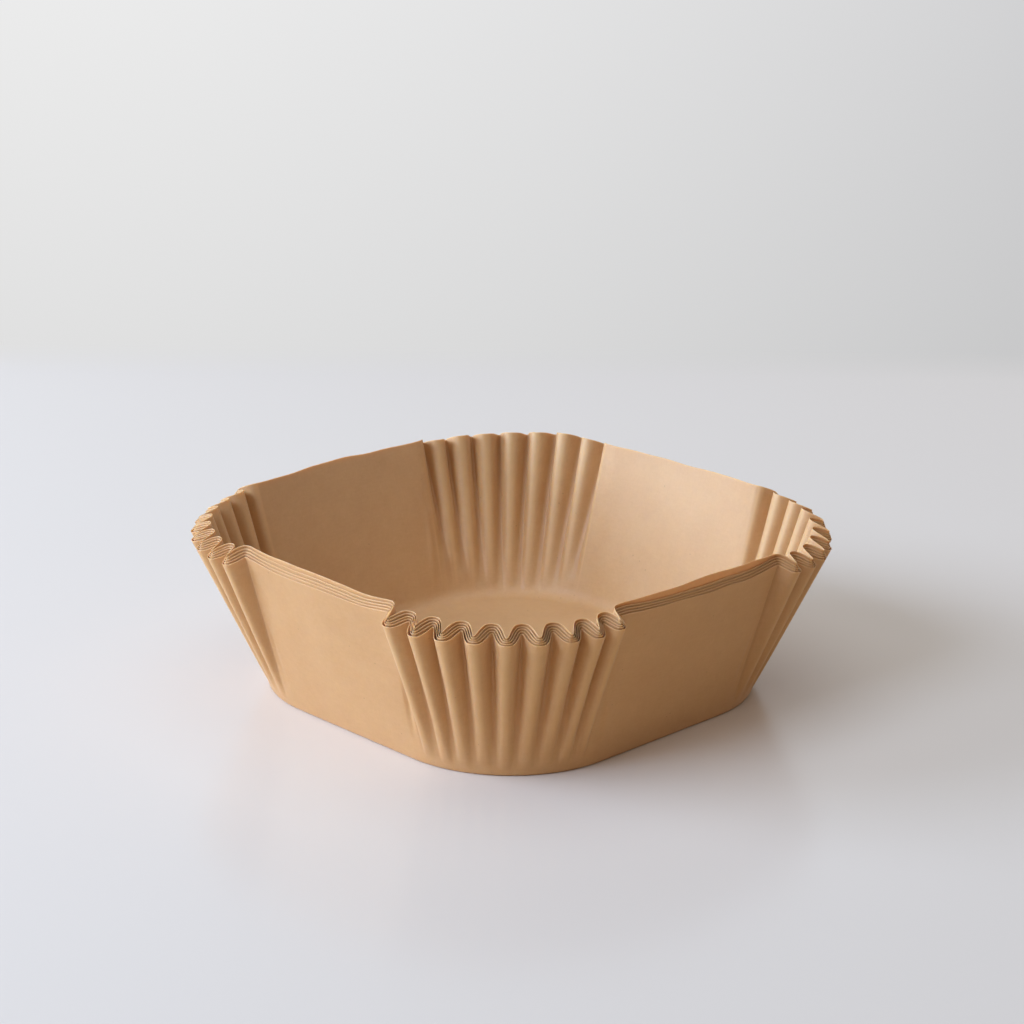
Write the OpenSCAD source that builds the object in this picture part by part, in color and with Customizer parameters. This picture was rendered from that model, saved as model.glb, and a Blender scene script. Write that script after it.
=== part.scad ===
// Stack of pleated square paper liners, each pressed from one sheet and nested in the one before.
// The floor of the outermost liner stands on z = 0, its middle is the origin, its sides follow X and Y.

/* [Floor] */
// Width of a liner's flat floor, side to side
floor_width = 160; // [130:1:200]
// Radius of the floor's corners
floor_corner = 48; // [40:1:56]

/* [Wall] */
// Height of the wall at the inner folds of its corners
wall_height = 63; // [50:1:75]
// How far a side panel leans out between floor and rim
wall_flare = 19.2; // [15:0.2:26]
// Radius of the rim's corners, measured to the inner folds
rim_corner = 59; // [50:1:66]
// How far the middle of a side panel bows out at the rim
panel_bow = 1.5; // [0:0.1:4]
// How far the ends of a side panel stand above its middle at the rim
panel_crest = 1.8; // [0:0.1:4]
// Straight stretches that make up a side panel's bowed rim
panel_facets = 2; // [2:1:8]

/* [Pleats] */
// Number of pleats in each corner
pleat_count = 9; // [6:1:11]
// Depth of a pleat at the rim
pleat_depth = 6; // [3:0.1:8]
// How far the rim of an outer fold lies below that of an inner fold
pleat_drop = 1.9; // [0:0.1:4]
// Height above the floor at which the pleats begin
pleat_start = 4; // [3:0.5:15]
// Width of a fold's crown as a share of one pleat
fold_share = 0.22; // [0.16:0.01:0.3]

/* [Paper] */
// Thickness of the paper
paper = 0.1; // [0.06:0.01:0.16]

/* [Stack] */
// Clearance between two nested liners, at their walls and at their floors
nest_gap = 0.2; // [0.1:0.01:0.25]
// How far each rim stands above the rim outside it
rim_step = 0.85; // [0.4:0.05:1.5]

/* [Hidden] */

kraft = [0.80, 0.63, 0.46];
corners = 4;
corner_turn = 360 / corners;

// Distance from the middle of the liner to the centre of a corner's arc, along X and along Y
floor_reach = floor_width / 2 - floor_corner;
rim_reach = floor_width / 2 + wall_flare - rim_corner;

// Each liner follows the one before it at this distance, inward and upward
nest_pitch = paper + nest_gap;

// One pleat runs inner fold, outer fold, inner fold: where its four edges lie and which stand out
pleat_edges = [
    [fold_share / 2, 0],
    [0.5 - fold_share / 2, 1],
    [0.5 + fold_share / 2, 1],
    [1 - fold_share / 2, 0],
];

function blend(from, to, share) = from + (to - from) * share;
function spin(p, angle) = [p.x * cos(angle) - p.y * sin(angle), p.x * sin(angle) + p.y * cos(angle)];
function unit(v) = v / norm(v);
function left_of(v) = [-v.y, v.x];
function flat(p) = [p.x, p.y];

// Columns run up the wall, anticlockwise seen from above. Each holds five things:
// its corner, its angle on the corner's arc, how far along the next panel it lies,
// how far it stands out as a share of the pleat depth, and its share of the panel's crest.
function corner_of(column) = column[0];
function angle_of(column) = column[1];
function along_of(column) = column[2];
function depth_of(column) = column[3];
function crest_of(column) = column[4];

// 1 at the ends of a panel, 0 at its middle
function end_share(along) = pow(2 * along - 1, 2);

function corner_columns(corner) = [
    for (pleat = [0 : pleat_count - 1], edge = pleat_edges)
        let (turn = (pleat + edge[0]) / pleat_count)
        let (pleats_from_panel = min(turn, 1 - turn) * pleat_count)
        [corner, corner_turn * turn, 0, edge[1], pleats_from_panel < fold_share ? 1 : 0]
];

function panel_columns(corner) = [
    for (facet = [1 : panel_facets - 1])
        let (along = facet / panel_facets)
        [corner, corner_turn, along, 0, end_share(along)]
];

columns = [
    for (corner = [0 : corners - 1])
        each concat(corner_columns(corner), panel_columns(corner))
];

// Where a column passes a given height
function spot(column, z) =
    let (up = z / wall_height)
    let (reach = blend(floor_reach, rim_reach, up))
    let (pleat = pleat_depth * max(0, z - pleat_start) / (wall_height - pleat_start))
    let (bow = along_of(column) > 0 ? panel_bow * up * (1 - end_share(along_of(column))) : 0)
    let (radius = blend(floor_corner, rim_corner, up) + pleat * depth_of(column) + bow)
    let (x = reach + radius * cos(angle_of(column)) - 2 * reach * along_of(column))
    let (y = reach + radius * sin(angle_of(column)))
    spin([x, y], corner_turn * corner_of(column));

// Height of a liner's rim at a column
function rim_z(column, rank) =
    wall_height + rank * rim_step - pleat_drop * depth_of(column) + panel_crest * crest_of(column);

// The same closed ring of points, moved inward by a distance
function inset(ring, distance) = [
    for (i = [0 : len(ring) - 1])
        let (here = flat(ring[i]))
        let (before = left_of(unit(here - flat(ring[(i + len(ring) - 1) % len(ring)]))))
        let (after = left_of(unit(flat(ring[(i + 1) % len(ring)]) - here)))
        let (moved = here + (before + after) * distance / (1 + before * after))
        [moved.x, moved.y, ring[i].z]
];

function level_ring(z) = [for (column = columns) let (p = spot(column, z)) [p.x, p.y, z]];
function rim_ring(rank) = [
    for (column = columns)
        let (z = rim_z(column, rank))
        let (p = spot(column, z))
        [p.x, p.y, z]
];

// A pressed sheet: rings of points go up the outside, over the rim and down the inside
module pressed_sheet(rank) {
    floor_z = rank * nest_pitch;
    half_way = (pleat_start + wall_height) / 2;
    wall = [level_ring(half_way), level_ring(pleat_start)];
    outer_wall = [level_ring(floor_z), wall[1], wall[0], rim_ring(rank)];
    inner_wall = [rim_ring(rank), wall[0], wall[1], level_ring(floor_z + paper)];
    rings = concat(
        [for (ring = outer_wall) inset(ring, floor_z)],
        [for (ring = inner_wall) inset(ring, floor_z + paper)]
    );
    size = len(columns);
    last = len(rings) - 1;
    underside = [for (i = [0 : size - 1]) i];
    floor_top = [for (i = [size - 1 : -1 : 0]) last * size + i];
    bands = [
        for (ring = [0 : last - 1], i = [0 : size - 1])
            let (next = (i + 1) % size)
            let (goes_up = ring < len(outer_wall))
            let (stands_out = depth_of(columns[next]) >= depth_of(columns[i]))
            each facet_pair(ring * size + i, ring * size + next, size, stands_out == goes_up)
    ];
    polyhedron(points = [for (ring = rings) each ring], faces = concat([underside, floor_top], bands));
}

// Two facets between neighbouring columns and rings.
// Each is cut from the foot of an inner fold to the top of an outer one, outside and inside alike.
function facet_pair(here, next, size, from_here) = from_here
    ? [[here, here + size, next + size], [here, next + size, next]]
    : [[here, here + size, next], [here + size, next + size, next]];

// One liner of the stack, counted from the outermost
module liner(rank) {
    color(kraft)
        pressed_sheet(rank);
}

liner(0);  // outer_liner
liner(1);  // second_liner
liner(2);  // third_liner
liner(3);  // fourth_liner
liner(4);  // inner_liner
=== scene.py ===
import math

import bpy
import numpy as np
from mathutils import Matrix, Vector


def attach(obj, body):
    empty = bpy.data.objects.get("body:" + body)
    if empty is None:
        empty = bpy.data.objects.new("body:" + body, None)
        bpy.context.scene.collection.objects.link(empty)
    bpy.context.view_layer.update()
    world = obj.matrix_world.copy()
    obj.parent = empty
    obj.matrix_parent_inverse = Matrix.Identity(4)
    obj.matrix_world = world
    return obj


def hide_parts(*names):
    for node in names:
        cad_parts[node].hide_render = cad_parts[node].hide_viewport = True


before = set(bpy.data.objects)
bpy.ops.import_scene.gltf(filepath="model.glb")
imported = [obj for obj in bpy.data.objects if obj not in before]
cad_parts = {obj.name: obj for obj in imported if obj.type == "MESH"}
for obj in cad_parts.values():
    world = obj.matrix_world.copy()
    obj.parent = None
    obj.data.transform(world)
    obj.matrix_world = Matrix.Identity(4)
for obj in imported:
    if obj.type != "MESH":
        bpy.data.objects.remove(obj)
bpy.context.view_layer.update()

mm = 0.001


# Camera: the angle from which the stack is seen, fitted to its rim and base

camera = dict(
    lens=100,            # mm
    sensor=36,
    azimuth=45.71,       # degrees, 0 looks along +Y
    elevation=18.33,
    roll=0.49,           # turned about its own axis, in degrees
    aim=(0, 0, 68.4),    # mm
    distance=1080.5,
)


def viewBasis(azimuth, elevation):
    a, e = math.radians(azimuth), math.radians(elevation)
    back = Vector((math.sin(a) * math.cos(e), -math.cos(a) * math.cos(e), math.sin(e)))
    right = Vector((math.cos(a), math.sin(a), 0))
    return right, back.cross(right), back


def makeCamera():
    right, up, back = viewBasis(camera["azimuth"], camera["elevation"])
    data = bpy.data.cameras.new("camera")
    data.lens, data.sensor_width = camera["lens"], camera["sensor"]
    data.clip_start, data.clip_end = 0.01, 50
    made = bpy.data.objects.new("camera", data)
    turn = Matrix((right, up, back)).transposed()
    turn = turn @ Matrix.Rotation(math.radians(camera["roll"]), 3, "Z")
    place = (Vector(camera["aim"]) + back * camera["distance"]) * mm
    made.matrix_world = Matrix.Translation(place) @ turn.to_4x4()
    bpy.context.scene.collection.objects.link(made)
    bpy.context.scene.camera = made


makeCamera()
print("camera placed")


# Shader helpers: a wrapped socket adds its Math nodes when it stands in a sum

class Wire:
    def __init__(self, net, socket):
        self.net, self.socket = net, socket

    def math(self, operation, other):
        return self.net.node("ShaderNodeMath", dict(operation=operation), {0: self, 1: other})

    def mathFrom(self, operation, other):
        return self.net.node("ShaderNodeMath", dict(operation=operation), {0: other, 1: self})

    def __add__(self, other):
        return self.math("ADD", other)

    def __sub__(self, other):
        return self.math("SUBTRACT", other)

    def __mul__(self, other):
        return self.math("MULTIPLY", other)

    def __truediv__(self, other):
        return self.math("DIVIDE", other)

    def __pow__(self, other):
        return self.math("POWER", other)

    def __lt__(self, other):
        return self.math("LESS_THAN", other)

    def __radd__(self, other):
        return self.mathFrom("ADD", other)

    def __rsub__(self, other):
        return self.mathFrom("SUBTRACT", other)

    def __rmul__(self, other):
        return self.mathFrom("MULTIPLY", other)

    def __rtruediv__(self, other):
        return self.mathFrom("DIVIDE", other)

    def clamped(self):
        return self.net.node("ShaderNodeClamp", {}, {"Value": self})


class Net:
    def __init__(self, owner):
        owner.use_nodes = True
        self.tree = owner.node_tree
        self.tree.nodes.clear()

    def node(self, kind, settings, inputs, out=0):
        made = self.tree.nodes.new(kind)
        for name, value in settings.items():
            setattr(made, name, value)
        for name, value in inputs.items():
            if isinstance(value, Wire):
                self.tree.links.new(value.socket, made.inputs[name])
            else:
                made.inputs[name].default_value = value
        return Wire(self, made.outputs[out]) if len(made.outputs) else None

    def mix(self, share, low, high, blend="MIX"):
        settings = dict(data_type="RGBA", blend_type=blend)
        return self.node("ShaderNodeMix", settings, {0: share, 6: low, 7: high}, 2)

    def vector(self, operation, first, second, out=0):
        return self.node("ShaderNodeVectorMath", dict(operation=operation), {0: first, 1: second}, out)

    def noise(self, place, scale, detail, roughness=0.5):
        inputs = {"Vector": place, "Scale": scale, "Detail": detail, "Roughness": roughness}
        return self.node("ShaderNodeTexNoise", {}, inputs)

    def attribute(self, name):
        return self.node("ShaderNodeAttribute", dict(attribute_name=name), {}, "Fac")

    def lightPath(self, kind):
        return self.node("ShaderNodeLightPath", {}, {}, kind)


def tone(red, green, blue):
    return (red, green, blue, 1)


# Kraft paper

kraft = dict(
    pale=tone(0.650, 0.412, 0.212),
    deep=tone(0.560, 0.325, 0.154),
    cut=tone(0.730, 0.480, 0.250),       # paler fibres at a cut rim, and a painted highlight where its edge would catch the light
    crease=tone(0.700, 0.440, 0.220),    # the crowns of the folds: rubbed paler, with a painted highlight where they catch the light
    grooveShade=tone(0.420, 0.205, 0.080),    # painted shade between the folds
    speck=tone(0.300, 0.165, 0.080),
    cutBand=0.45,                        # mm below the cut rim painted paler: paler fibres and a painted highlight
    crownShare=0.06,                     # how much of a fold's depth counts as its crown
    grooveShare=0.3,                     # and as the groove between two folds
    grooveShadeStrength=0.5,                     # how strongly the painted shade shows
    crownRubAndHighlight=(0.35, 0.7),                  # least paling of a crown, by rub and painted highlight, and how much the mottle adds
    cloudScale=38,                       # per metre: soft clouds in the pulp
    mottleScale=210,
    fibreScale=1500,
    fibreUp=(1, 1, 0.22),                # stretches the fibres along the wall
    fibreOver=(0.3, 0.3, 1.4),           # and across it
    clouds=0.55,                         # the parts of clouds, mottle and fibres in the colour
    mottle=0.45,
    fibres=0.9,
    contrast=1.7,
    speckScale=240,
    speckSize=0.075,                     # as a share of its cell
    speckCells=0.22,                     # the share of cells that hold one
    speckDepth=0.45,
    roughness=0.58,
    roughMottle=0.16,
    roughFibre=0.12,
    gloss=1.0,
    sheen=0.15,
    bump=0.22,
    bumpHeight=0.00006,                  # metres
    glow=0.6,                            # how much light the thin sheet lets through,
    glowTint=(1.0, 0.74, 0.36),          # warmest where it shines from behind,
    glowReach=0.0004,                    # and how far it spreads in the paper, in metres
)


def kraftPaper(name, shade, offset):
    material = bpy.data.materials.new(name)
    net = Net(material)
    here = net.node("ShaderNodeTexCoord", {}, {}, "Object")
    place = net.vector("ADD", here, offset)
    upward = net.vector("MULTIPLY", place, kraft["fibreUp"])
    across = net.vector("MULTIPLY", place, kraft["fibreOver"])
    clouds = net.noise(place, kraft["cloudScale"], 3, 0.55)
    mottle = net.noise(place, kraft["mottleScale"], 4, 0.6)
    fibreUp = net.noise(upward, kraft["fibreScale"], 3, 0.6)
    fibreOver = net.noise(across, kraft["fibreScale"] * 0.7, 3, 0.6)
    fibres = fibreUp * 0.5 + fibreOver * 0.5
    body = clouds * kraft["clouds"] + mottle * kraft["mottle"] + (fibres - 0.5) * kraft["fibres"]
    body = (body - 0.5) * kraft["contrast"] + 0.5
    colour = net.mix(body.clamped(), kraft["deep"], kraft["pale"])
    cells = dict(feature="F1")
    cellInputs = {"Vector": place, "Scale": kraft["speckScale"]}
    reach = net.node("ShaderNodeTexVoronoi", cells, cellInputs, "Distance")
    lot = net.node("ShaderNodeTexVoronoi", cells, cellInputs, "Color")
    lot = net.node("ShaderNodeSeparateColor", {}, {"Color": lot}, "Red")
    specks = (reach < kraft["speckSize"]) * (lot < kraft["speckCells"])
    colour = net.mix(specks * kraft["speckDepth"], colour, kraft["speck"])
    leastRubAndHighlight, mottleRubAndHighlight = kraft["crownRubAndHighlight"]
    # Painted highlight on the crowns of the folds, with some rub.
    rubbedAndLit = net.attribute("crown") * (leastRubAndHighlight + mottle * mottleRubAndHighlight)
    colour = net.mix(rubbedAndLit.clamped(), colour, kraft["crease"])
    # Painted shade in the grooves between the folds.
    colour = net.mix(net.attribute("grooveShade") * kraft["grooveShadeStrength"], colour, kraft["grooveShade"])
    # The cut rim's paler tone: paler fibres and a painted highlight on the lit edge.
    colour = net.mix(net.attribute("cut"), colour, kraft["cut"])
    colour = net.mix(1.0, colour, tone(*shade), "MULTIPLY")
    rough = (kraft["roughness"] + (mottle - 0.5) * kraft["roughMottle"]
             + (fibres - 0.5) * kraft["roughFibre"])
    bump = net.node("ShaderNodeBump", {}, {
        "Strength": kraft["bump"], "Distance": kraft["bumpHeight"],
        "Height": fibres * 0.7 + mottle * 0.5}, "Normal")
    shader = net.node("ShaderNodeBsdfPrincipled", {}, {
        "Base Color": colour, "Roughness": rough, "Normal": bump,
        "IOR": 1.5, "Specular IOR Level": kraft["gloss"],
        "Sheen Weight": kraft["sheen"], "Sheen Roughness": 0.45,
        "Subsurface Weight": kraft["glow"], "Subsurface Radius": kraft["glowTint"],
        "Subsurface Scale": kraft["glowReach"]})
    net.node("ShaderNodeOutputMaterial", {}, {"Surface": shader})
    return material


# The pressed form that all the liners share, in mm

form = dict(
    floorWidth=160,
    floorCorner=48,
    wallHeight=63,
    wallFlare=18.6,
    rimCorner=58.5,       # to the inner folds
    baseFold=1.2,         # how far the fold between floor and wall reaches
    baseFoldMore=0.9,     # more for each liner further in
    pleats=9,
    pleatDepth=7.2,
    pleatRise=0.88,       # below 1 the pleats open early
    footSqueeze=0.86,     # the pleats' share of a corner at the floor, against the rim
    footShift=0.5,        # how much of a fold's shift is left at the floor
    foldRadius=0.185,     # radius of the middle sheet's folds, as a share of one pleat
    foldSway=0.25,        # how far an inner fold may stand in or out
    panelBow=1.7,
    panelCrest=1.8,
    pleatDrop=2.3,
    crestReach=0.75,      # how many pleats the raised rim of a panel's end runs into the corner
    broadWarp=0.9,        # the slow warp of the walls
    fineWarp=0.35,        # small waves in the sheet
    edgeRag=0.22,         # unevenness of the cut edge
    paper=0.12,
    seed=7,
)

stack = dict(
    names=["outer_liner", "second_liner", "third_liner", "fourth_liner", "inner_liner"],
    shades=[(1.0, 1.0, 1.0), (0.97, 0.96, 0.95), (1.0, 0.99, 0.97), (0.95, 0.95, 0.93), (1.0, 1.0, 0.96)],
    pitch=0.3,            # mm from one sheet to the next, at floor and wall
    spread=0.42,          # more at the rim of a corner
    panelSpread=0.08,     # and of a panel
    rimStep=0.76,         # each rim stands this far above the one outside it
    dropMore=0.12,        # each rim dips more at the outer folds than the one outside it
    fanWander=0.09,       # how much the middle rims wander between the outermost and innermost
)

# How each corner came out of the press, from the one at +X +Y anticlockwise.
# "plain" is the share of the corner's arc at each end that stays without pleats, below 0 where
# they reach into the panel. "shift" moves the inner folds between the pleats by a share of a pleat,
# "lean" tips each pleat, "tall" scales its depth, "start" is how high in mm it begins and "open"
# parts the first two sheets there. "outer" and "inner" raise the outermost and innermost rim at the
# quarters, "crease" is the depth in mm of the small crease beside the pleats at each end.
corners = [
    dict(plain=(-0.012, -0.025), crease=(0.3, 0.2),
         outer=(-1.4, -1.4, -0.6), inner=(-0.9, -0.9, -0.2),
         shift=(0, 0, 0.02, -0.02, -0.01, 0.04, 0.01, 0),
         lean=(0, 0.01, -0.02, 0, 0.01, 0, -0.01, 0, 0.02),
         tall=(0.98, 1.04, 1.08, 1.10, 1.12, 1.08, 1.02, 0.97, 0.94),
         start=(3, 4, 3, 3, 4, 3, 4, 4, 6),
         open=(0.2, 0.1, 0.1, 0.3, 0.1, 0.1, 0.2, 0.1, 0.1)),
    dict(plain=(0.0, 0.010), crease=(0, 0.4),
         outer=(0, -0.4, -0.7), inner=(0.4, -0.4, -0.8),
         shift=(-0.62, -0.52, -0.42, -0.30, -0.24, -0.16, -0.10, -0.05),
         lean=(0, -0.12, -0.13, -0.12, -0.13, -0.12, -0.10, -0.10, -0.13),
         tall=(0.01, 0.96, 0.98, 1.02, 1.00, 1.04, 0.98, 1.00, 0.96),
         start=(12, 9, 5, 3, 3, 3, 6, 12, 17),
         open=(0, 0.1, 0.2, 0.1, 0.1, 0.2, 0.1, 0.1, 0.1)),
    dict(plain=(0.050, -0.030), crease=(0.3, 0.3),
         outer=(-0.6, 0, 0.2), inner=(-0.7, -0.6, 0),
         shift=(0, 0, 0.04, 0, -0.02, 0.02, 0, 0),
         lean=(-0.03, 0, 0.01, -0.01, 0, 0.02, -0.01, 0, 0),
         tall=(0.96, 1.00, 1.02, 1.03, 1.04, 1.04, 1.04, 1.02, 1.00),
         start=(9, 7, 5, 4, 3, 3, 4, 3, 3),
         open=(0.1, 0.1, 0.2, 0.1, 0.5, 0.4, 0.2, 0.3, 0.2)),
    dict(plain=(0.012, 0.050), crease=(0.8, 0.6),
         outer=(-0.1, -0.2, -0.2), inner=(0, -0.1, 0),
         shift=(-0.03, -0.06, 0.05, 0.16, 0.22, 0.34, 0.44, 0.30),
         lean=(-0.10, 0.01, 0, -0.01, 0, 0.01, 0, 0, 0.08),
         tall=(1.00, 1.02, 1.00, 0.98, 1.00, 1.00, 0.99, 1.00, 0.95),
         start=(4, 3, 3, 4, 3, 3, 4, 3, 5),
         open=(0.5, 0.9, 0.7, 0.4, 0.1, 0.1, 0.2, 0.4, 0.3)),
]

# How far the rims of each panel stand above their plain height, at seven places along it.
# The panels face +Y, -X, -Y and +X; "fan" says how the sheets between share the difference.
panels = [
    dict(outer=(-0.6, -0.4, -0.2, -0.1, -0.3, -0.6, -0.9),
         inner=(-1.0, -0.7, -0.3, -0.5, -0.6, -1.2, -2.2), fan=(0, 0.25, 0.45, 0.7, 1)),
    dict(outer=(-0.5, -0.6, -0.3, 0, -0.2, -0.5, -0.4),
         inner=(-1.4, -0.7, 0, 0.9, 0.4, -0.5, -1.0), fan=(0, 0.2, 0.5, 0.7, 1)),
    dict(outer=(-0.3, -0.85, -0.5, 0.2, -0.2, -1.25, -0.6),
         inner=(0.4, 1.6, 2.6, 3.0, 2.2, 0.6, 0), fan=(0, 0.16, 0.32, 0.6, 1)),
    dict(outer=(0, 0, 0, -0.5, -0.9, -2.0, -1.2),
         inner=(0.8, 2.1, 2.9, 3.7, 2.4, 1.3, -0.6), fan=(0, 0.05, 0.15, 0.26, 1)),
]

mesh = dict(
    pleatSteps=16,
    plainSteps=8,
    panelSteps=24,
    wallRows=28,
    rowCrowding=1.12,                                # above 1 the wall's rows crowd at its foot
    rimRows=(1.1, 0.62, 0.30, 0.0),                  # mm below the cut edge
    rimGap=1.2,                                      # from them to the wall's rows
    foldRows=5,
    floorRings=(0.99, 0.965, 0.92, 0.84, 0.72, 0.55, 0.36, 0.17),      # shares of the floor's width
)

luck = np.random.default_rng(form["seed"])


def waveTable():
    # Arcs joined by straight flanks: 0 at an inner fold, 1 at an outer fold
    pitch = math.pi / 2 * (form["rimCorner"] + form["pleatDepth"] / 2) / form["pleats"]
    radius = form["foldRadius"] * pitch
    slopes = np.radians(np.linspace(20, 89, 700))
    flank = (pitch / 2 - 2 * radius * np.sin(slopes)) / np.cos(slopes)
    height = 2 * radius * (1 - np.cos(slopes)) + flank * np.sin(slopes)
    slope = slopes[np.argmin(np.abs(height - form["pleatDepth"]) + (flank < 0) * 99)]
    flank = (pitch / 2 - 2 * radius * math.sin(slope)) / math.cos(slope)
    turns = np.linspace(0, slope, 60)
    footX, footY = radius * np.sin(turns), radius * (1 - np.cos(turns))
    topX, topY = footX[-1] + flank * math.cos(slope), footY[-1] + flank * math.sin(slope)
    headX = topX + radius * (math.sin(slope) - np.sin(turns[::-1]))
    headY = topY + radius * (np.cos(turns[::-1]) - math.cos(slope))
    x, y = np.append(footX, headX), np.append(footY, headY)
    x, y = x / x[-1] / 2, y / y[-1]
    return np.append(x, 1 - x[::-1]), np.append(y, y[::-1])


waveShare, waveHeight = waveTable()


def pleatWave(phase):
    return np.interp(phase, waveShare, waveHeight)


def sineField(x, z, waves, size):
    # Smooth seeded unevenness, the same for every liner so that the sheets never cross
    total = np.zeros(np.broadcast(x, z).shape)
    for kx, kz, phase, weight in waves:
        total = total + weight * np.sin(kx * x + kz * z + phase)
    return total * size


def drawWaves(count, lowX, highX, highZ):
    rows = [(luck.uniform(lowX, highX) * luck.choice((-1, 1)), luck.uniform(-highZ, highZ),
             luck.uniform(0, 2 * math.pi), luck.uniform(0.5, 1)) for _ in range(count)]
    total = sum(row[3] for row in rows)
    return [(kx, kz, phase, weight / total) for kx, kz, phase, weight in rows]


broadWaves = drawWaves(5, 0.02, 0.05, 0.03)
fineWaves = drawWaves(7, 0.08, 0.22, 0.10)
edgeWaves = drawWaves(6, 0.05, 0.35, 0)
fanWaves = [drawWaves(4, 0.02, 0.08, 0) for _ in range(4)]


def smoothCurve(values, share):
    # A curve through evenly spaced values
    last = len(values) - 1
    place = np.clip(share, 0, 1) * last
    left = np.minimum(place.astype(int), last - 1)
    t = place - left
    ends = [2 * values[0] - values[1], *values, 2 * values[-1] - values[-2]]
    a, b, c, d = (np.take(ends, left + step) for step in range(4))
    return b + 0.5 * t * (c - a + t * (2 * a - 5 * b + 4 * c - d + t * (3 * (b - c) + d - a)))


def leaning(phase, lean):
    # Moves the crown of a fold to one side of its pleat
    return phase * (1 + 2 * lean) if phase < 0.5 else 1 - (1 - phase) * (1 - 2 * lean)


def plainEnds(habit):
    # Where the pleats of a corner start and stop on its arc, at the floor too, and the panels begin
    first, last = habit["plain"]
    foot = [0.5 - (0.5 - max(end, 0)) * form["footSqueeze"] for end in habit["plain"]]
    return first, 1 - last, foot[0], 1 - foot[1], min(0, first - 0.02), max(1, 1.02 - last)


def plainColumns(corner, rim, foot, depth):
    # The stretch beside the pleats, with its small crease
    rows = []
    for step in range(mesh["plainSteps"]):
        share = step / mesh["plainSteps"]
        crease = depth * math.sin(math.pi * share) ** 2
        rows.append((corner, rim[0] + (rim[1] - rim[0]) * share, foot[0] + (foot[1] - foot[0]) * share,
                     0, 0, 0, 0, 0, crease, 0, 0, 0))
    return rows


def pleatColumns(corner, habit):
    rows = []
    pleats = form["pleats"]
    first, last, footFirst, footLast, _, _ = plainEnds(habit)
    nudge = np.array((0, *habit["shift"], 0))
    bounds = (np.arange(pleats + 1) + nudge) / pleats
    footBounds = (np.arange(pleats + 1) + nudge * form["footShift"]) / pleats
    sway = luck.uniform(-form["foldSway"], form["foldSway"], pleats + 1)
    sway[0] = sway[-1] = 0
    for pleat in range(pleats):
        for step in range(mesh["pleatSteps"]):
            phase = step / mesh["pleatSteps"]
            share = leaning(phase, habit["lean"][pleat])
            place, footPlace = (edge[pleat] + share * (edge[pleat + 1] - edge[pleat])
                                for edge in (bounds, footBounds))
            ease = share * share * (3 - 2 * share)
            rows.append((
                corner, first + place * (last - first), footFirst + footPlace * (footLast - footFirst),
                0, 0, 0, phase, habit["tall"][pleat],
                sway[pleat] * (1 - ease) + sway[pleat + 1] * ease,
                min(place, 1 - place) * pleats, habit["open"][pleat], habit["start"][pleat]))
    return rows


def makeColumns():
    # Every column of the wall, anticlockwise seen from above. Each holds its corner, its share of the
    # corner's arc at rim and floor, whether it is on the next panel, how far along it and where that
    # ends, its phase in its pleat, the pleat's depth, its wander (beside the pleats, the depth of the
    # crease), how many pleats lie between it and the panel, how far the first two sheets part and the
    # height at which the pleat begins.
    rows = []
    for corner, habit in enumerate(corners):
        first, last, footFirst, footLast, start, stop = plainEnds(habit)
        rows += plainColumns(corner, (start, first), (0, footFirst), habit["crease"][0])
        rows += pleatColumns(corner, habit)
        rows += plainColumns(corner, (last, stop), (footLast, 1), habit["crease"][1])
        farStart = plainEnds(corners[(corner + 1) % len(corners)])[4]
        for step in range(mesh["panelSteps"]):
            rows.append((corner, stop, 1, 1, step / mesh["panelSteps"], farStart) + (0,) * 6)
    return np.array(rows).T


columns = makeColumns()
corner, rimTurn, _, onPanel, along, _, phase, tall, _, nearEnd, opening, _ = columns
onPanel = onPanel > 0
wave = pleatWave(phase) * tall
endShare = (2 * along - 1) ** 2


def rimRun(corner, rimTurn, onPanel, along):
    # Roughly how many mm round the rim a column stands
    return corner * 175 + np.where(onPanel, 95 + along * 80, rimTurn * 95)


arc = rimRun(corner, rimTurn, onPanel, along)


def formSpot(z, columns):
    # Where the middle sheet of the stack passes the heights z
    corner, rimTurn, footTurn, onPanel, along, farStart, phase, tall, sway, _, _, startZ = columns
    up = z / form["wallHeight"]
    upTurn = np.clip(up, 0, 1.1)
    floorReach = form["floorWidth"] / 2 - form["floorCorner"]
    rimReach = form["floorWidth"] / 2 + form["wallFlare"] - form["rimCorner"]
    reach = floorReach + (rimReach - floorReach) * up
    turn = footTurn + (rimTurn - footTurn) * upTurn
    onArc = np.clip(turn, 0, 1)
    angle = onArc * math.pi / 2
    past = (turn - onArc) * math.pi / 2 * form["rimCorner"]       # straight on into the panel
    pastFar = -farStart * upTurn * math.pi / 2 * form["rimCorner"]
    rise = np.clip((z - startZ) / (form["wallHeight"] - startZ), 0, 1.2)
    rise = rise ** form["pleatRise"]
    middle = onPanel * (1 - (2 * along - 1) ** 2)
    ground = np.clip(up * 3, 0, 1)                                # no warp at the floor
    way = rimRun(corner, rimTurn, onPanel, along)
    bulge = pleatWave(phase) * tall
    radius = form["floorCorner"] + (form["rimCorner"] - form["floorCorner"]) * up
    radius = radius + form["pleatDepth"] * rise * bulge
    low = np.clip((z - 5) / 40, 0, 1)
    pinch = np.where(tall > 0, rise * (1 - bulge), -np.sin(math.pi * low) ** 2)
    radius = radius + sway * pinch
    radius = radius + middle * form["panelBow"] * up - 2 * stack["pitch"]
    broad = sineField(way, z, broadWaves, form["broadWarp"])
    radius = radius + broad * ground * np.where(onPanel, middle, 0.2)
    radius = radius + sineField(way, z, fineWaves, form["fineWarp"]) * ground * middle ** 0.5
    x = reach + radius * np.cos(angle) - np.maximum(past, 0)
    x = x - along * (2 * reach - np.maximum(past, 0) - pastFar)
    y = reach + radius * np.sin(angle) + np.minimum(past, 0)
    spin = corner * math.pi / 2
    return np.stack([x * np.cos(spin) - y * np.sin(spin), x * np.sin(spin) + y * np.cos(spin),
                     np.broadcast_to(z, x.shape)], -1)


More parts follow.
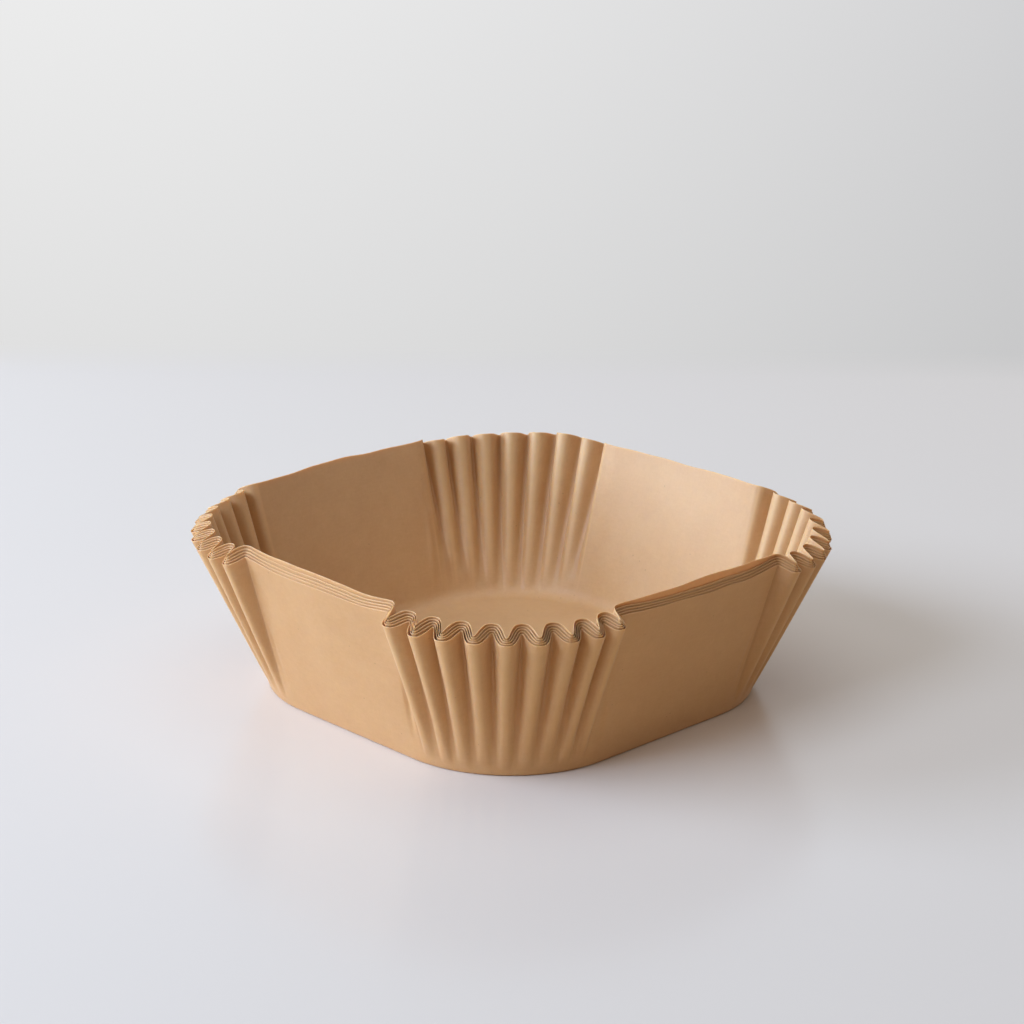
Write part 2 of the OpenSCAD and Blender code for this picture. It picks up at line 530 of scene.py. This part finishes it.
def wallSpot(z, inward):
    # The same, moved square to the sheet by a distance, a little less at the folds
    ahead = formSpot(z, np.roll(columns, -1, 1)) - formSpot(z, np.roll(columns, 1, 1))
    square = np.stack([-ahead[:, 1], ahead[:, 0], 0 * ahead[:, 0]], -1)
    square /= np.linalg.norm(square, axis=1)[:, None]
    square = sum(np.roll(square, step, 0) for step in range(-2, 3)) / 5
    return formSpot(z, columns) + square * np.asarray(inward)[..., None]


def rimLift(rank):
    # What the habits of corners and panels add to the plain height of a rim
    lift = np.zeros(len(corner))
    for side, habit in enumerate(corners):
        before, after = panels[side - 1], panels[side]
        low = (before["outer"][-1], *habit["outer"], after["outer"][0])
        high = (before["inner"][-1], *habit["inner"], after["inner"][0])
        wander = sineField(arc, 0, fanWaves[rank % 4], stack["fanWander"]) if 0 < rank < 4 else 0
        share = after["fan"][rank] + wander
        arcShare = before["fan"][rank] + wander + (share - before["fan"][rank] - wander) * rimTurn
        onArc = smoothCurve(low, rimTurn) * (1 - arcShare) + smoothCurve(high, rimTurn) * arcShare
        onSide = (smoothCurve(after["outer"], along) * (1 - share)
                  + smoothCurve(after["inner"], along) * share)
        lift = np.where(corner == side, np.where(onPanel, onSide, onArc), lift)
    return lift


def rimHeight(rank):
    crest = np.where(onPanel, endShare, np.exp(-(nearEnd / form["crestReach"]) ** 2))
    drop = form["pleatDrop"] + rank * stack["dropMore"]
    rag = sineField(arc + rank * 37, 0, edgeWaves, form["edgeRag"])
    return (form["wallHeight"] + rank * stack["rimStep"] - drop * wave
            + form["panelCrest"] * crest + rimLift(rank) + rag)


def inwardShift(rank, z, inside):
    # How far a sheet lies inside the stack's middle
    up = np.clip(z / form["wallHeight"], 0, 1.1)
    loose = np.where(onPanel, endShare ** 2, 1)
    spread = stack["panelSpread"] + (stack["spread"] - stack["panelSpread"]) * loose
    shift = (rank - 2) * (stack["pitch"] + up ** 2 * spread)
    shift = shift + min(rank, 1) * up ** 3 * opening * wave
    return shift + (form["paper"] if inside else 0)


def sheetSide(rank, inside):
    # One side of a sheet, from the rim of the floor up to the cut edge
    base = rank * stack["pitch"] + (form["paper"] if inside else 0)
    fold = form["baseFold"] + rank * form["baseFoldMore"]
    top = rimHeight(rank)
    low = wallSpot(np.full(len(wave), base + fold), inwardShift(rank, base + fold, inside))
    edge = wallSpot(np.full(len(wave), base), inwardShift(rank, base, inside))
    flat = wallSpot(np.full(len(wave), base), inwardShift(rank, base, inside) + fold)
    rings = []
    for step in range(mesh["foldRows"]):
        share = step / mesh["foldRows"]
        rings.append(flat * (1 - share) ** 2 + edge * 2 * share * (1 - share) + low * share ** 2)
    rows = mesh["wallRows"]
    for row in range(rows):
        share = (row / rows) ** mesh["rowCrowding"]
        z = base + fold + (top - mesh["rimRows"][0] - mesh["rimGap"] - base - fold) * share
        rings.append(wallSpot(z, inwardShift(rank, z, inside)))
    for below in mesh["rimRows"]:
        z = top - below
        rings.append(wallSpot(z, inwardShift(rank, z, inside)))
    return rings, top


def paintSheet(data, rings, top, insideFrom):
    # How much each point belongs to the cut edge (paler fibres and painted highlight), to a crown (rub
    # and painted highlight) and to a groove (painted shade)
    cut, crown, grooveShade = [], [], []
    for ring, spots in enumerate(rings):
        z = spots[:, 2]
        outward = pleatWave(phase)
        if ring >= insideFrom:
            outward = 1 - outward
        height = np.clip((z - 4) / 14, 0, 1) * (tall > 0.1)
        # The band below the cut rim: paler fibres and painted highlight.
        cut.append(np.clip(1 - (top - z) / kraft["cutBand"], 0, 1))
        # Crowns of the outward folds: rub and painted highlight.
        crown.append(np.clip((outward - 1) / kraft["crownShare"] + 1, 0, 1) * height)
        # Grooves between the folds, for the painted shade.
        grooveShade.append(np.clip(1 - outward / kraft["grooveShare"], 0, 1) * height)
    for label, values in (("cut", cut), ("crown", crown), ("grooveShade", grooveShade)):
        layer = data.attributes.new(label, "FLOAT", "POINT")
        both = np.append(np.concatenate(values), (0, 0))       # and the two floor centres
        layer.data.foreach_set("value", both.astype(np.float32))


def makeLiner(rank, name):
    outside, top = sheetSide(rank, False)
    inside, _ = sheetSide(rank, True)
    under = [outside[0] * (share, share, 1) for share in reversed(mesh["floorRings"])]
    over = [inside[0] * (share, share, 1) for share in mesh["floorRings"]]
    rings = under + outside + inside[::-1] + over
    size = len(wave)
    floorZ = rank * stack["pitch"]
    points = np.concatenate([*rings, [(0, 0, floorZ), (0, 0, floorZ + form["paper"])]])
    faces = []
    ahead = np.roll(np.arange(size), -1)
    for ring in range(len(rings) - 1):
        low, high = ring * size, (ring + 1) * size
        faces += [(low + i, low + j, high + j, high + i) for i, j in enumerate(ahead)]
    last = (len(rings) - 1) * size
    faces += [(j, i, size * len(rings)) for i, j in enumerate(ahead)]
    faces += [(last + i, last + j, size * len(rings) + 1) for i, j in enumerate(ahead)]
    data = bpy.data.meshes.new(name + "_paper")
    data.from_pydata((points * mm).tolist(), [], faces)
    data.update()
    data.shade_smooth()
    paintSheet(data, rings, top, len(under) + len(outside))
    made = bpy.data.objects.new(name + "_sheet", data)
    bpy.context.scene.collection.objects.link(made)
    return made


for rank, name in enumerate(stack["names"]):
    sheet = makeLiner(rank, name)
    offset = (0.013 * rank, 0.029 * rank, 0.017 * rank)        # so that no two sheets look the same
    sheet.data.materials.append(kraftPaper("kraft_" + name, stack["shades"][rank], offset))
    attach(sheet, "root")
    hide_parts(name)
    print(name, "pressed:", len(sheet.data.polygons), "faces")


# Stage: a pale glossy table that turns into a pale wall

table = dict(
    halfWidth=6,                         # metres
    near=tone(0.72, 0.72, 0.735),
    far=tone(0.83, 0.835, 0.855),        # paler towards the wall: painted reflection of the bright wall on the glossy table
    paling=(1.4, 0.45),                  # per metre behind the stack, and its share at the stack
    cloudScale=3.5,
    clouds=0.06,
    bounce=tone(0.74, 0.56, 0.38),       # what it throws back on the paper
    wallStart=0.465,                     # metres behind the stack, along the view
    wallTurn=18,                         # per metre: how soon the table has turned into the wall
    wallLow=(tone(0.745, 0.745, 0.745), tone(0.58, 0.58, 0.585)),       # left and right: brighter on the left, painted light from the window's side
    wallHigh=(tone(0.835, 0.835, 0.835), tone(0.64, 0.64, 0.65)),
    wallRise=7.6,                        # how soon the low tones give way to the high ones
    wallSide=1.6,                        # above 1 the left tone reaches further
    roughness=0.22,
)


def tableFinish():
    material = bpy.data.materials.new("pale_table")
    net = Net(material)
    here = net.node("ShaderNodeTexCoord", {}, {}, "Object")
    right, _, back = viewBasis(camera["azimuth"], 0)
    rise = math.radians(camera["elevation"])
    eyeBack = camera["distance"] * math.cos(rise) * mm
    eyeHeight = (camera["distance"] * math.sin(rise) + camera["aim"][2]) * mm
    sideways = net.vector("DOT_PRODUCT", here, tuple(right), "Value")
    behind = net.vector("DOT_PRODUCT", here, tuple(-back), "Value")
    reach = behind.math("MAXIMUM", 0.0) + eyeBack
    across = (sideways / reach * (camera["lens"] / camera["sensor"]) + 0.5).clamped()
    horizon = eyeHeight / (table["wallStart"] + eyeBack)
    up = ((horizon - eyeHeight / reach) * table["wallRise"]).clamped()
    wall = ((behind - table["wallStart"]) * table["wallTurn"] + 0.5).clamped()
    low = net.mix(across ** table["wallSide"], *table["wallLow"])
    high = net.mix(across ** table["wallSide"], *table["wallHigh"])
    # The wall is painted as glowing tones: painted light, brighter towards the window on the left, and
    # paler higher up.
    painted = net.node("ShaderNodeEmission", {}, {"Color": net.mix(up, low, high), "Strength": 1.0})
    seen = net.lightPath("Is Camera Ray")
    cloud = (net.noise(here, table["cloudScale"], 2) - 0.5) * table["clouds"]
    slope, middle = table["paling"]
    # Painted reflection: the table pales away from the stack towards the wall.
    shaded = net.mix((behind * slope + middle + cloud).clamped(), table["near"], table["far"])
    shaded = net.mix(seen, table["bounce"], shaded)
    lit = net.node("ShaderNodeBsdfPrincipled", {}, {
        "Base Color": shaded, "Roughness": table["roughness"], "IOR": 1.45})
    shader = net.node("ShaderNodeMixShader", {}, {0: seen * wall, 1: lit, 2: painted})
    net.node("ShaderNodeOutputMaterial", {}, {"Surface": shader})
    return material


def makeTable():
    reach = table["halfWidth"]
    data = bpy.data.meshes.new("table_top")
    data.from_pydata([(-reach, -reach, 0), (reach, -reach, 0), (reach, reach, 0),
                      (-reach, reach, 0)], [], [(0, 1, 2, 3)])
    made = bpy.data.objects.new("table_top", data)
    bpy.context.scene.collection.objects.link(made)
    data.materials.append(tableFinish())


makeTable()
print("table laid")


# Light: a broad window low on the left, a smaller one nearer the camera, a pale ceiling and a warm room

lamps = [
    dict(name="window", azimuth=-44.3, elevation=20, distance=2.0, size=(1.1, 1.0),
         radiance=9.1, colour=(0.89, 1.01, 1.18)),
    dict(name="fill", azimuth=-4, elevation=35, distance=2.0, size=(0.8, 0.8),
         radiance=8.0, colour=(0.89, 1.01, 1.18)),
    dict(name="ceiling", azimuth=0, elevation=89.9, distance=1.8, size=(2.2, 2.2),
         radiance=0.84, colour=(1.0, 0.97, 0.93)),
]

room = dict(
    colour=tone(0.195, 0.148, 0.102),
    mirrored=tone(0.80, 0.80, 0.81),     # what gloss and a low camera see of it
)


def makeLamps():
    for lamp in lamps:
        _, _, back = viewBasis(lamp["azimuth"], lamp["elevation"])
        data = bpy.data.lights.new(lamp["name"], "AREA")
        data.shape, data.size, data.size_y = "RECTANGLE", *lamp["size"]
        data.energy = lamp["radiance"] * math.pi * lamp["size"][0] * lamp["size"][1]
        data.color = lamp["colour"]
        made = bpy.data.objects.new(lamp["name"], data)
        made.rotation_euler = back.to_track_quat("Z", "Y").to_euler()
        made.location = back * lamp["distance"]
        bpy.context.scene.collection.objects.link(made)


def makeRoom():
    world = bpy.data.worlds.new("pale_room")
    bpy.context.scene.world = world
    net = Net(world)
    mirrored = (net.lightPath("Is Camera Ray") + net.lightPath("Is Glossy Ray")).clamped()
    colour = net.mix(mirrored, room["colour"], room["mirrored"])
    ambient = net.node("ShaderNodeBackground", {}, {"Color": colour, "Strength": 1.0})
    net.node("ShaderNodeOutputWorld", {}, {"Surface": ambient})


makeLamps()
makeRoom()
print("lights set")

bpy.context.scene.view_settings.view_transform = "Standard"
